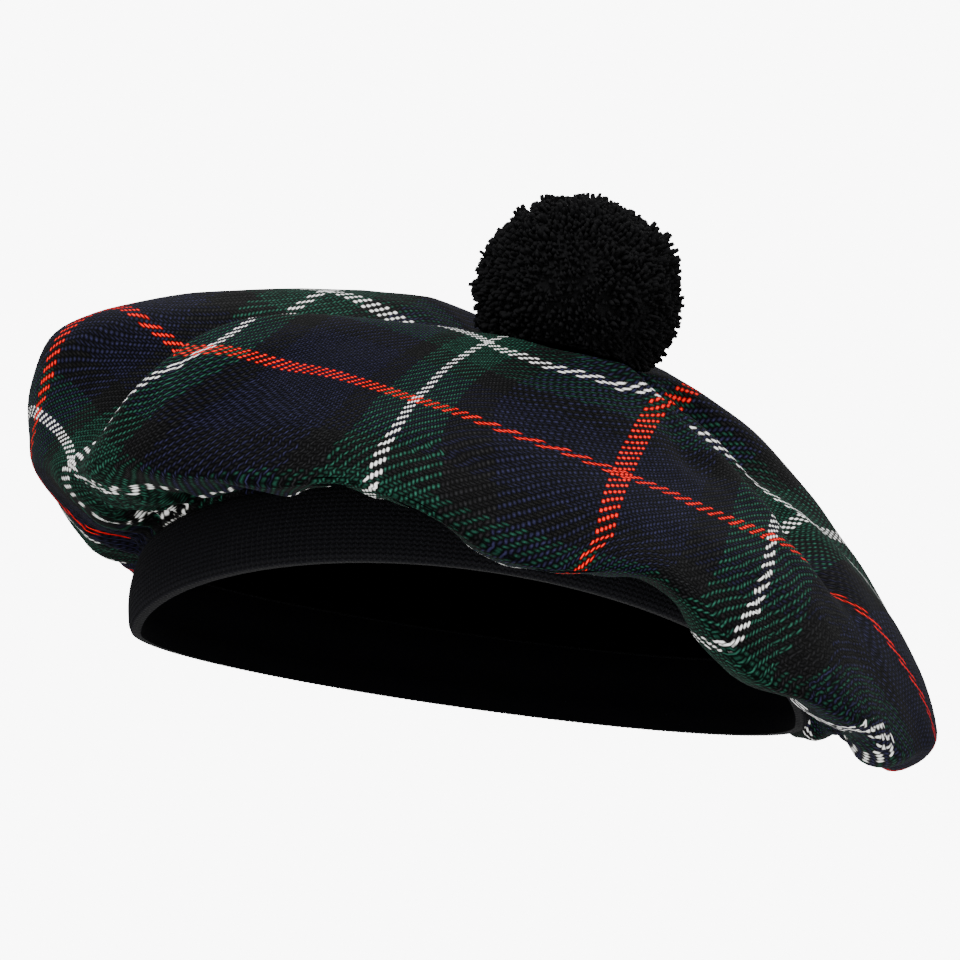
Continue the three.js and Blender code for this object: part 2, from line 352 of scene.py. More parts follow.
def section_stations(azimuth):
    """The points that each section of the crown passes, from the pad's edge to the seam."""
    degrees = np.degrees(azimuth)

    def place(reach, height, kept):
        x = CENTRE_X * kept + reach * np.cos(azimuth)
        return np.stack([x, reach * np.sin(azimuth), height + 0 * azimuth], axis=-1)

    stations = [place(PAD_REACH, CENTRE_HEIGHT, 1)]
    for name, kept in FORMS:
        reach = periodic(SECTIONS, SECTION_COLUMNS.index(name + "_reach"), degrees) * MM
        height = periodic(SECTIONS, SECTION_COLUMNS.index(name + "_height"), degrees) * MM
        stations.append(place(reach, height, kept))
    stations.append(rim_point(azimuth, -NECK_OUTSET, BAND_HEIGHT + NECK_RISE))
    stations.append(rim_point(azimuth, SEAM_INSET, BAND_HEIGHT + GAP))
    return stations


def crown_grid():
    """The crown's outer surface: its rows of points from the pad out to the seam."""
    azimuth = np.arange(CROWN_COLUMNS) * TURN / CROWN_COLUMNS
    stations = section_stations(azimuth)
    last = len(stations) - 1
    spans = [
        np.linalg.norm(stations[i + 1] - stations[i], axis=1, keepdims=True) ** SPAN_POWER
        for i in range(last)
    ]
    tangents = [(stations[1] - stations[0]) / spans[0] * np.array([1, 1, 0])]
    for i in range(1, last):
        tangents.append((stations[i + 1] - stations[i - 1]) / (spans[i] + spans[i - 1]))
    tangents.append((stations[last] - stations[last - 1]) / spans[last - 1])
    centre = np.array([CENTRE_X, 0, CENTRE_HEIGHT])
    rows, places = [], []
    for k, steps in enumerate(CROWN_STEPS):
        for i in range(1, steps + 1):
            t = i / steps
            if k == 0:
                rows.append(centre + (stations[0] - centre) * t)
            else:
                low, high, span = k - 1, k, spans[k - 1]
                rows.append(hermite(
                    stations[low], tangents[low] * span, stations[high], tangents[high] * span, t,
                ))
            places.append(k + t)
    return azimuth, np.array(places), np.array(rows)


def grid_normals(rows):
    """The outward direction at each point of the crown's grid."""
    around = np.roll(rows, -1, axis=1) - np.roll(rows, 1, axis=1)
    along = np.gradient(rows, axis=0)
    normals = np.cross(along, around)
    normals /= np.maximum(np.linalg.norm(normals, axis=2, keepdims=True), 1e-12)
    return normals


def soft_noise(points, size, seed):
    """Smooth noise from -1 to 1 at each point, with lumps of about the given size."""
    offset = Vector((seed * 7.3, seed * 3.1, seed * 5.7))
    flat = points.reshape(-1, 3)
    values = [noise.noise(Vector(p) / size + offset) for p in flat]
    return np.array(values).reshape(points.shape[:-1])


def crown_folds(azimuth, places, rows, gather_depth, wrinkle_depth):
    """How far each point of the cloth stands out from its plain form."""
    rise = np.clip((places - SLACK_START) / SLACK_LENGTH, 0, 1)[:, None]
    turns = np.cos(SLACK_FOLDS * azimuth)[None, :]
    slack = SLACK_DEPTH * np.sin(math.pi * rise ** SLACK_SKEW) * turns
    wander = soft_noise(rows, GATHER_WANDER_SIZE, 1)
    near_band = np.clip((places - GATHER_START) / GATHER_RISE, 0, 1)
    near_band = near_band * np.clip((SEAM_PLACE - places) / SEAM_FADE, 0, 1)
    waves = np.sin(GATHERS * azimuth[None, :] + GATHER_WANDER * wander)
    gathers = gather_depth * near_band[:, None] * waves
    open_cloth = np.clip((places - WRINKLE_START) / WRINKLE_RISE, 0, 1)
    open_cloth = open_cloth * np.clip((WRINKLE_END - places) / WRINKLE_FADE, 0, 1)
    wrinkles = wrinkle_depth * (
        soft_noise(rows, WRINKLE_SIZE, 2) + CREASE_SHARE * soft_noise(rows, CREASE_SIZE, 3)
    )
    return slack + gathers + wrinkles * open_cloth[:, None]


def cloth_coordinates(azimuth, rows):
    """Where each point lies on the flat cloth, in millimetres along and across its stripes."""
    centre = np.array([CENTRE_X, 0, CENTRE_HEIGHT])
    steps = np.linalg.norm(np.diff(rows, axis=0, prepend=np.broadcast_to(
        centre, (1,) + rows.shape[1:])), axis=2)
    length = np.cumsum(steps, axis=0) / MM / HALF_STRIPE
    degrees = np.degrees(azimuth)
    angle = azimuth + np.radians(periodic(CLOTH_LAY, CLOTH_LAY_COLUMNS.index("turn"), degrees))
    reach = length * periodic(CLOTH_LAY, CLOTH_LAY_COLUMNS.index("fullness"), degrees)
    base = np.stack([
        CLOTH_CENTRE[0] - reach * np.sin(angle), CLOTH_CENTRE[1] + reach * np.cos(angle),
    ], axis=-1)
    flat_rows, cloth = rows.reshape(-1, 3), base.copy()
    image, depth = picture_place(flat_rows)
    facing = np.abs(grid_normals(rows).reshape(-1, 3) @ view_axes()[1])
    settings = []
    for axis, lines in ((0, LINES_ACROSS), (1, LINES_ALONG)):
        seen = [(line, *seen_at(mark, image, depth)) for line, marks in lines for mark in marks]
        places = np.array([centre] + [weights @ flat_rows[near] for _, near, weights in seen])
        faced = np.array([1.0] + [weights @ facing[near] for _, near, weights in seen])
        softness = LINE_SOFTNESS / np.maximum(faced, LEAST_FACING) ** 2
        pull = line_pull(places, places) + np.diag(softness)
        settings.append((axis, seen, line_pull(flat_rows, places) @ np.linalg.inv(pull)))
    for _ in range(CLOTH_ROUNDS):
        for axis, seen, spread in settings:
            flat = cloth[..., axis].ravel()
            shifts = [0.0] + [line - weights @ flat[near] for line, near, weights in seen]
            cloth[..., axis] += (spread @ np.array(shifts)).reshape(cloth.shape[:2])
        cloth = let_out(cloth, rows / MM / HALF_STRIPE, length)
    return cloth * HALF_STRIPE


def let_out(cloth, rows, length):
    """Even the cloth out where it is drawn too thin or too full for the surface under it."""
    around_gaps = np.linalg.norm(np.roll(rows, -1, axis=1) - rows, axis=2)
    crowded = np.maximum(1, length * TURN / CROWN_COLUMNS / around_gaps)
    pairs = []
    for down, around, least in (
        (0, 1, LEAST_STRETCH), (1, 0, LEAST_STRETCH),
        (1, 1, LEAST_BIAS_STRETCH), (1, -1, LEAST_BIAS_STRETCH),
    ):
        last = len(rows) - down
        gaps = np.linalg.norm(np.roll(rows, -around, axis=1)[down:] - rows[:last], axis=2)
        fullness = MOST_FULLNESS * (crowded[:last] if around else 1)
        pairs.append((down, around, last, least * gaps, fullness * gaps))
    for _ in range(EASE_STEPS):
        move = np.zeros_like(cloth)
        for down, around, last, low, high in pairs:
            reach = np.roll(cloth, -around, axis=1)[down:] - cloth[:last]
            span = np.maximum(np.linalg.norm(reach, axis=2), 1e-9)
            pull = (1 - np.clip(span, low, high) / span)[..., None] * reach
            move[:last] += pull
            move[down:] -= np.roll(pull, around, axis=1)
        cloth = cloth + EASE_SHARE * move
    return cloth


def fold_depth(rows):
    """How far the doubled folds sink each point of the crown."""
    flat_rows = rows.reshape(-1, 3)
    image, depth = picture_place(flat_rows)
    sunk = np.zeros(len(flat_rows))
    for deep, wide, marks in FOLDS:
        places = []
        for mark in marks:
            near, weights = seen_at(mark, image, depth)
            places.append(weights @ flat_rows[near])
        path = np.array([
            places[i] + (places[i + 1] - places[i]) * t
            for i in range(len(places) - 1) for t in np.linspace(0, 1, FOLD_SAMPLES)
        ])
        count = np.arange(len(path))
        fade = np.minimum(1, np.minimum(count, count[::-1]) / FOLD_FADE)
        gaps = np.linalg.norm(flat_rows[:, None, :] - path[None, :, :], axis=2)
        groove = fade[None, :] * np.exp(-(gaps / (wide * MM)) ** 2)
        sunk = np.maximum(sunk, deep * MM * groove.max(axis=1))
    return sunk.reshape(rows.shape[:2])


def line_pull(points, places):
    """How strongly a line's mark at each place moves the cloth at each point."""
    gaps = np.linalg.norm(points[:, None, :] - places[None, :, :], axis=2)
    scaled = math.sqrt(3) * gaps / LINE_SPREAD
    return (1 + scaled) * np.exp(-scaled)


def view_axes():
    """The 960 pixel view's right, forward and upward directions, before its roll."""
    right = np.array([1.0, 0, 0])
    look = np.array([0, math.cos(CAMERA_ELEVATION), -math.sin(CAMERA_ELEVATION)])
    return right, look, np.cross(right, look)


def picture_place(points):
    """Where points show in the 960 pixel view, and how far away they are."""
    right, look, up = view_axes()
    away = points - (np.array(CAMERA_TARGET) - look * CAMERA_DISTANCE)
    depth = away @ look
    scale = PICTURE_WIDTH * CAMERA_DISTANCE / VIEW_WIDTH / depth
    across, rise = scale * (away @ right), scale * (away @ up)
    turn, lift = math.cos(CAMERA_ROLL), math.sin(CAMERA_ROLL)
    middle = PICTURE_WIDTH / 2
    x = middle + turn * across + lift * rise
    y = middle + lift * across - turn * rise
    return np.stack([x, y], axis=1), depth


def seen_at(mark, image, depth):
    """The nearest points that show at a mark of the view, and how much each counts."""
    gaps = np.linalg.norm(image - mark, axis=1)
    near = np.flatnonzero(gaps < max(MARK_REACH, gaps.min() + 1))
    near = near[depth[near] < depth[near].min() + MARK_DEPTH]
    near = near[np.argsort(gaps[near])[:MARK_POINTS]]
    weights = 1 / (gaps[near] ** 2 + 1)
    return near, weights / weights.sum()


def mesh_object(name, points, faces, uv=None, slots=None):
    """A new mesh object in the scene, smooth, with its own map if one is given."""
    mesh = bpy.data.meshes.new(name)
    mesh.from_pydata([tuple(p) for p in points], [], faces)
    mesh.polygons.foreach_set("use_smooth", [True] * len(mesh.polygons))
    if slots is not None:
        mesh.polygons.foreach_set("material_index", slots)
    if uv is not None:
        layer = mesh.uv_layers.new(name="cloth")
        corners = np.empty(len(mesh.loops), dtype=np.int32)
        mesh.loops.foreach_get("vertex_index", corners)
        layer.data.foreach_set("uv", np.asarray(uv, np.float32)[corners].ravel())
    mesh.update()
    piece = bpy.data.objects.new(name, mesh)
    bpy.context.scene.collection.objects.link(piece)
    return piece


def add(tree, kind, settings=None, **inputs):
    """Add a node of one kind, with its settings, and with each input set or linked."""
    node = tree.nodes.new(kind)
    for key, value in (settings or {}).items():
        setattr(node, key, value)
    for key, value in inputs.items():
        place = int(key[1:]) if key[1:].isdigit() else key.replace("_", " ")
        socket = node.inputs[place]
        if isinstance(value, bpy.types.NodeSocket):
            tree.links.new(value, socket)
        else:
            socket.default_value = value
    return node


def math_node(tree, operation, first, second=0.0):
    return add(tree, "ShaderNodeMath", {"operation": operation}, i0=first, i1=second).outputs[0]


def tone_range(tree, value, span, tones):
    """A value's span turned into a span of tones, held at both ends."""
    return add(
        tree, "ShaderNodeMapRange", Value=value,
        i1=span[0], i2=span[1], i3=tones[0], i4=tones[1],
    ).outputs[0]


def new_material(name):
    """An empty node material and its tree."""
    material = bpy.data.materials.new(name)
    material.use_nodes = True
    material.node_tree.nodes.clear()
    return material, material.node_tree


def sett_stops(half_widths):
    """The starts of one direction's colours in half stripes, with its thin lines laid over."""
    def ground_at(place):
        return [name for start, name in GROUNDS if start <= place][-1]

    stops = {start: name for start, name in GROUNDS}
    for line, name in LINES:
        half = half_widths[name]
        stops[(line - half) % SETT_HALF_STRIPES] = name
        stops.pop(line, None)
        stops[line + half] = ground_at(line + half)
    stops[0.0] = "white"
    return sorted(stops.items())


def sett_ramp(tree, thread, colours, half_widths):
    """One direction's threads: the colour of each thread by its number."""
    middle = math_node(tree, "ADD", thread, 0.5)
    share = math_node(tree, "MULTIPLY", middle, THREAD_PITCH / (HALF_STRIPE * SETT_HALF_STRIPES))
    ramp = add(tree, "ShaderNodeValToRGB", Fac=math_node(tree, "FRACT", share))
    stops = sett_stops(half_widths)
    band = ramp.color_ramp
    band.interpolation = "CONSTANT"
    band.elements.remove(band.elements[1])
    band.elements[0].position = 0
    band.elements[0].color = (*colours[stops[0][1]], 1)
    for start, name in stops[1:]:
        band.elements.new(start / SETT_HALF_STRIPES).color = (*colours[name], 1)
    return ramp.outputs["Color"]


def tartan_wool(props):
    """Woollen 2/2 twill, woven of dyed yarn, which gives slanting ribs and beaded thin lines, with
    painted shade in the hollows and painted highlight on the crests of its floats.
    """
    material, tree = new_material("tartan_wool_twill")
    colours = {name: tuple(getattr(props, name)) for name in YARNS}
    cloth = add(tree, "ShaderNodeUVMap", {"uv_map": "cloth"}).outputs[0]
    wobble = add(tree, "ShaderNodeTexNoise", Vector=cloth, Scale=WOBBLE_SCALE, Detail=2.0)
    moved = add(
        tree, "ShaderNodeVectorMath", {"operation": "MULTIPLY_ADD"},
        i0=wobble.outputs["Color"], i1=(WOBBLE, WOBBLE, 0), i2=cloth,
    )
    parts = add(tree, "ShaderNodeSeparateXYZ", i0=moved.outputs[0])
    across = math_node(tree, "DIVIDE", parts.outputs[0], THREAD_PITCH)
    along = math_node(tree, "DIVIDE", parts.outputs[1], THREAD_PITCH)
    across_thread = math_node(tree, "FLOOR", across)
    along_thread = math_node(tree, "FLOOR", along)
    # Painted shade: the across floats' dark ground colours are scaled down by this tone.
    grounds = {name for _, name in GROUNDS}
    shaded_colours = {
        name: tuple(c * (SHADED_GROUND_TONE if name in grounds else 1) for c in colour)
        for name, colour in colours.items()
    }
    across_colour = sett_ramp(tree, across_thread, shaded_colours, HALF_WIDTHS_ACROSS)
    along_colour = sett_ramp(tree, along_thread, colours, HALF_WIDTHS_ALONG)
    step = math_node(
        tree, "FLOORED_MODULO", math_node(tree, "ADD", across_thread, along_thread), TWILL_REPEAT,
    )
    over = math_node(tree, "LESS_THAN", step, TWILL_FLOAT - 0.5)
    woven = add(
        tree, "ShaderNodeMix", {"data_type": "RGBA"}, i0=over, i6=along_colour, i7=across_colour,
    ).outputs[2]

    def bead(place, other_place, own_thread):
        """How far a float stands up: round over its own yarn, and bowed from end to end."""
        crest = math_node(tree, "SINE", math_node(
            tree, "MULTIPLY", math_node(tree, "SUBTRACT", place, own_thread), math.pi,
        ))
        run = math_node(tree, "MULTIPLY", math_node(
            tree, "ADD", own_thread, other_place), math.pi / TWILL_FLOAT)
        return math_node(tree, "MULTIPLY", crest, math_node(
            tree, "ABSOLUTE", math_node(tree, "SINE", run),
        ))

    height = add(
        tree, "ShaderNodeMix", {"data_type": "FLOAT"}, i0=over,
        i2=bead(along, across, along_thread), i3=bead(across, along, across_thread),
    ).outputs[0]
    fibre = add(
        tree, "ShaderNodeTexNoise", Vector=cloth, Scale=FIBRE_SCALE, Detail=3.0, Roughness=0.7,
    )
    mottle = add(tree, "ShaderNodeTexNoise", Vector=cloth, Scale=MOTTLE_SCALE, Detail=2.0)
    crossing = add(tree, "ShaderNodeCombineXYZ", i0=across_thread, i1=along_thread)
    speck = add(
        tree, "ShaderNodeTexWhiteNoise", {"noise_dimensions": "2D"}, Vector=crossing.outputs[0],
    )
    uneven = tone_range(tree, speck.outputs[0], (0, 1), UNEVEN_TONES)
    # Painted shade and highlight: the yarn's colour is darkened in the hollows between floats and
    # brightened on their crests.
    bead_shade = math_node(tree, "MULTIPLY", height, height)
    value = tone_range(tree, bead_shade, (0, 1), BEAD_SHADE_TONES)
    grain = tone_range(tree, fibre.outputs[0], NOISE_RANGE, FIBRE_TONES)
    cloud = tone_range(tree, mottle.outputs[0], NOISE_RANGE, MOTTLE_TONES)
    for tone in (grain, cloud, uneven):
        value = math_node(tree, "MULTIPLY", value, tone)
    lit = add(tree, "ShaderNodeVectorMath", {"operation": "SCALE"}, i0=woven, Scale=value)
    tint = add(
        tree, "ShaderNodeVectorMath", {"operation": "MINIMUM"}, i0=lit.outputs[0],
        i1=(BRIGHTEST_YARN,) * 3,
    )
    fuzz = math_node(tree, "MULTIPLY", fibre.outputs[0], FUZZ_HEIGHT)
    bump = add(
        tree, "ShaderNodeBump", Height=math_node(tree, "ADD", height, fuzz), Strength=0.5,
        Distance=0.3 * MM,
    )
    shader = add(
        tree, "ShaderNodeBsdfPrincipled", Base_Color=tint.outputs[0], Roughness=0.88,
        Normal=bump.outputs[0], Specular_IOR_Level=0.04, Sheen_Weight=0.01, Sheen_Roughness=0.4,
        Sheen_Tint=(0.75, 0.78, 0.8, 1),
    )
    add(tree, "ShaderNodeOutputMaterial", Surface=shader.outputs[0])
    return material


def shaded_wool_reverse(name):
    """The wool's wrong side, raised and unpressed, painted near black as painted shade inside the
    hat.
    """
    material, tree = new_material(name)
    place = add(tree, "ShaderNodeTexCoord").outputs["Object"]
    fibre = add(tree, "ShaderNodeTexNoise", Vector=place, Scale=1 / REVERSE_FIBRE, Detail=3.0)
    ramp = add(tree, "ShaderNodeValToRGB", Fac=fibre.outputs[0])
    # Painted shade: both tones are near black, darker than any yarn, so the hat's inside reads as
    # shadow.
    ramp.color_ramp.elements[0].color = (*linear("020203"), 1)
    ramp.color_ramp.elements[1].color = (*linear("050507"), 1)
    bump = add(tree, "ShaderNodeBump", Height=fibre.outputs[0], Strength=0.4, Distance=0.3 * MM)
    shader = add(
        tree, "ShaderNodeBsdfPrincipled", Base_Color=ramp.outputs[0], Roughness=0.95,
        Specular_IOR_Level=0.02, Normal=bump.outputs[0],
    )
    add(tree, "ShaderNodeOutputMaterial", Surface=shader.outputs[0])
    return material


def black_knit(props):
    """Black wool ribbing, knitted in stocking stitch on ribs, matte with a slight lift of fibre."""
    material, tree = new_material("black_wool_ribbing")
    place = add(tree, "ShaderNodeUVMap", {"uv_map": "cloth"}).outputs[0]
    parts = add(tree, "ShaderNodeSeparateXYZ", i0=place)
    wale = math_node(tree, "FRACT", math_node(tree, "DIVIDE", parts.outputs[0], STITCH_WIDTH))
    lean = math_node(tree, "ABSOLUTE", math_node(tree, "SUBTRACT", wale, 0.5))
    course = math_node(
        tree, "ADD", math_node(tree, "DIVIDE", parts.outputs[1], STITCH_HEIGHT), lean,
    )
    loop = math_node(tree, "ABSOLUTE", math_node(
        tree, "SINE", math_node(tree, "MULTIPLY", course, math.pi),
    ))
    fibre = add(tree, "ShaderNodeTexNoise", Vector=place, Scale=3.0, Detail=3.0)
    fuzz = math_node(tree, "MULTIPLY", fibre.outputs[0], KNIT_FUZZ)
    height = math_node(tree, "ADD", loop, fuzz)
    # Painted shade and highlight: the knit darkens between its loops and lightens on them, with
    # some fibre noise.
    ramp = add(tree, "ShaderNodeValToRGB", Fac=math_node(tree, "MULTIPLY", height, 0.7))
    for stop, tone in zip(ramp.color_ramp.elements, KNIT_SHADE_TONES):
        stop.color = (*[tone * c for c in props.knit], 1)
    bump = add(tree, "ShaderNodeBump", Height=height, Strength=0.8, Distance=0.4 * MM)
    shader = add(
        tree, "ShaderNodeBsdfPrincipled", Base_Color=ramp.outputs[0], Roughness=0.92,
        Specular_IOR_Level=0.06, Normal=bump.outputs[0], Sheen_Weight=0.015, Sheen_Roughness=0.5,
    )
    add(tree, "ShaderNodeOutputMaterial", Surface=shader.outputs[0])
    return material


def black_yarn(props):
    """Cut black wool yarn, brushed open, whose ends catch a little light."""
    material, tree = new_material("cut_black_wool_yarn")
    place = add(tree, "ShaderNodeTexCoord").outputs["Object"]
    fibre = add(
        tree, "ShaderNodeTexNoise", Vector=place, Scale=1 / STRAND_FIBRE, Detail=3.0,
        Roughness=0.65,
    )
    ramp = add(tree, "ShaderNodeValToRGB", Fac=fibre.outputs[0])
    for stop, position, tone in zip(ramp.color_ramp.elements, NOISE_RANGE, STRAND_TONES):
        stop.position = position
        stop.color = (*[tone * c for c in props.yarn], 1)
    shader = add(
        tree, "ShaderNodeBsdfPrincipled", Base_Color=ramp.outputs[0], Roughness=0.9,
        Specular_IOR_Level=0.05,
    )
    add(tree, "ShaderNodeOutputMaterial", Surface=shader.outputs[0])
    return material


def plain_white():
    """Painted studio board, matte and even."""
    material, tree = new_material("matte_studio_board")
    shader = add(
        tree, "ShaderNodeBsdfPrincipled", Base_Color=(*linear("f4f4f2"), 1), Roughness=0.9,
    )
    add(tree, "ShaderNodeOutputMaterial", Surface=shader.outputs[0])
    return material


class TamCloth(bpy.types.PropertyGroup):
    """The dyed yarns of the tartan and how the crown is folded."""

    white: bpy.props.FloatVectorProperty(
        name="White", description="Undyed yarn of the thin light lines",
        subtype="COLOR", size=3, min=0, max=1, default=linear("e4e4e0"),
    )
    red: bpy.props.FloatVectorProperty(
        name="Red", description="Scarlet yarn of the thin red lines",
        subtype="COLOR", size=3, min=0, max=1, default=linear("c00403"),
    )
    green: bpy.props.FloatVectorProperty(
        name="Green", description="Bottle green yarn",
        subtype="COLOR", size=3, min=0, max=1, default=linear("0c281f"),
    )
    navy: bpy.props.FloatVectorProperty(
        name="Navy", description="Navy blue yarn",
        subtype="COLOR", size=3, min=0, max=1, default=linear("0d0d1c"),
    )
    black: bpy.props.FloatVectorProperty(
        name="Black", description="Black yarn between the green and the navy",
        subtype="COLOR", size=3, min=0, max=1, default=linear("0a0a0b"),
    )
    wall: bpy.props.FloatProperty(
        name="Cloth thickness", description="Thickness of the wool cloth",
        unit="LENGTH", min=1 * MM, max=3 * MM, default=1.6 * MM,
    )
    gather_depth: bpy.props.FloatProperty(
        name="Gather depth", description="Depth of the fine gathers at the headband",
        unit="LENGTH", min=0, max=3 * MM, default=0.9 * MM,
    )
    wrinkle_depth: bpy.props.FloatProperty(
        name="Wrinkle depth", description="Depth of the soft wrinkles of the open cloth",
        unit="LENGTH", min=0, max=3 * MM, default=1.1 * MM,
    )


class TamTrim(bpy.types.PropertyGroup):
    """The knitted headband and the pompom."""

    knit: bpy.props.FloatVectorProperty(
        name="Knit", description="Black wool of the headband",
        subtype="COLOR", size=3, min=0, max=1, default=linear("0e0e11"),
    )
    rib_spacing: bpy.props.FloatProperty(
        name="Rib spacing", description="Distance from one knitted rib to the next",
        unit="LENGTH", min=1 * MM, max=4 * MM, default=1.6 * MM,
    )
    yarn: bpy.props.FloatVectorProperty(
        name="Yarn", description="Black wool yarn of the pompom",
        subtype="COLOR", size=3, min=0, max=1, default=linear("0e0e0f"),
    )
    strands: bpy.props.IntProperty(
        name="Strands", description="Cut strands of yarn that show on the pompom",
        min=500, max=6000, default=5200,
    )
    seed: bpy.props.IntProperty(
        name="Seed", description="Starts the random lengths and leans of the strands",
        default=11,
    )


class TAM_OT_crown(bpy.types.Operator):
    """Make the slack tartan crown from its sections"""

    bl_idname = "tam.crown"
    bl_label = "Crown"

    def execute(self, context):
        props = context.scene.tam_cloth
        azimuth, places, rows = crown_grid()
        cloth = cloth_coordinates(azimuth, rows)
        folds = crown_folds(azimuth, places, rows, props.gather_depth, props.wrinkle_depth)
        folds -= fold_depth(rows)
        folds[-1] = 0
        outer = rows + grid_normals(rows) * folds[..., None]
        inner = outer - grid_normals(outer) * props.wall
        inner[-1] = rim_point(azimuth, SEAM_INSET + props.wall, BAND_HEIGHT + GAP)
        inner[-2] = outer[-2] * 0.5 + inner[-2] * 0.5
        count, columns = rows.shape[:2]
        centre = np.array([CENTRE_X, 0, CENTRE_HEIGHT])
        points = np.concatenate([
            outer.reshape(-1, 3), inner.reshape(-1, 3),
            [centre, centre - (0, 0, props.wall)],
        ])
        middle = np.array(CLOTH_CENTRE) * HALF_STRIPE
        uv = np.concatenate([cloth.reshape(-1, 2), cloth.reshape(-1, 2), [middle, middle]])
        faces, slots = [], []
        half = count * columns
        for c in range(columns):
            n = (c + 1) % columns
            faces.append((2 * half, c, n))
            slots.append(0)
            faces.append((2 * half + 1, half + n, half + c))
            slots.append(1)
            for r in range(count - 1):
                low, high = r * columns, (r + 1) * columns
                faces.append((low + c, high + c, high + n, low + n))
                slots.append(0)
                faces.append((half + low + n, half + high + n, half + high + c, half + low + c))
                slots.append(1)
            edge = (count - 1) * columns
            faces.append((edge + c, half + edge + c, half + edge + n, edge + n))
            slots.append(0)
        piece = mesh_object("tartan_crown", points, faces, uv, slots)
        piece.data.materials.append(tartan_wool(props))
        piece.data.materials.append(shaded_wool_reverse("wool_twill_reverse"))
        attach(piece, "root")
        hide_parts("crown")
        return {"FINISHED"}


class TAM_OT_headband(bpy.types.Operator):
    """Knit the ribbed headband round the rim"""

    bl_idname = "tam.headband"
    bl_label = "Headband"

    def execute(self, context):
        props = context.scene.tam_trim
        girth = math.pi * (RIM_HALF_WIDTH + RIM_HALF_DEPTH)
        ribs = round(girth / props.rib_spacing)
        columns = RIB_COLUMNS * ribs
        azimuth = np.arange(columns) * TURN / columns
        outline = [(0.0, i / BAND_STEPS) for i in range(BAND_STEPS + 1)] + list(BAND_RETURN)
        rings = []
        for side, rise in outline:
            lift = min(max(rise, 0), BAND_TOP)
            rib = 0.5 * RIB_DEPTH * (1 - np.cos(ribs * azimuth)) * (1 - side)
            bulge = BAND_BULGE * math.sin(math.pi * lift)
            edge = BAND_EDGE if side == 0 and rise in (0.0, 1.0) else 0
            rings.append(rim_point(
                azimuth, side * BAND_THICKNESS + rib - bulge + edge, BAND_HEIGHT * lift,
            ))
        rings = np.array(rings)
        count = len(outline)
        along = azimuth / TURN * girth / MM
        heights = np.array([rise * BAND_HEIGHT / MM for _, rise in outline])
        uv = np.stack(np.broadcast_arrays(along[None, :], heights[:, None]), axis=-1)
        uv = uv.reshape(-1, 2)
        faces, slots = [], []
        for r in range(count):
            low, high = r * columns, ((r + 1) % count) * columns
            inside = outline[r][0] == outline[(r + 1) % count][0] == 1.0
            for c in range(columns):
                n = (c + 1) % columns
                faces.append((low + c, low + n, high + n, high + c))
                slots.append(int(inside))
        piece = mesh_object("knitted_headband", rings.reshape(-1, 3), faces, uv, slots)
        piece.data.materials.append(black_knit(props))
        piece.data.materials.append(shaded_wool_reverse("wool_ribbing_reverse"))
        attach(piece, "root")
        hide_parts("headband")
        return {"FINISHED"}


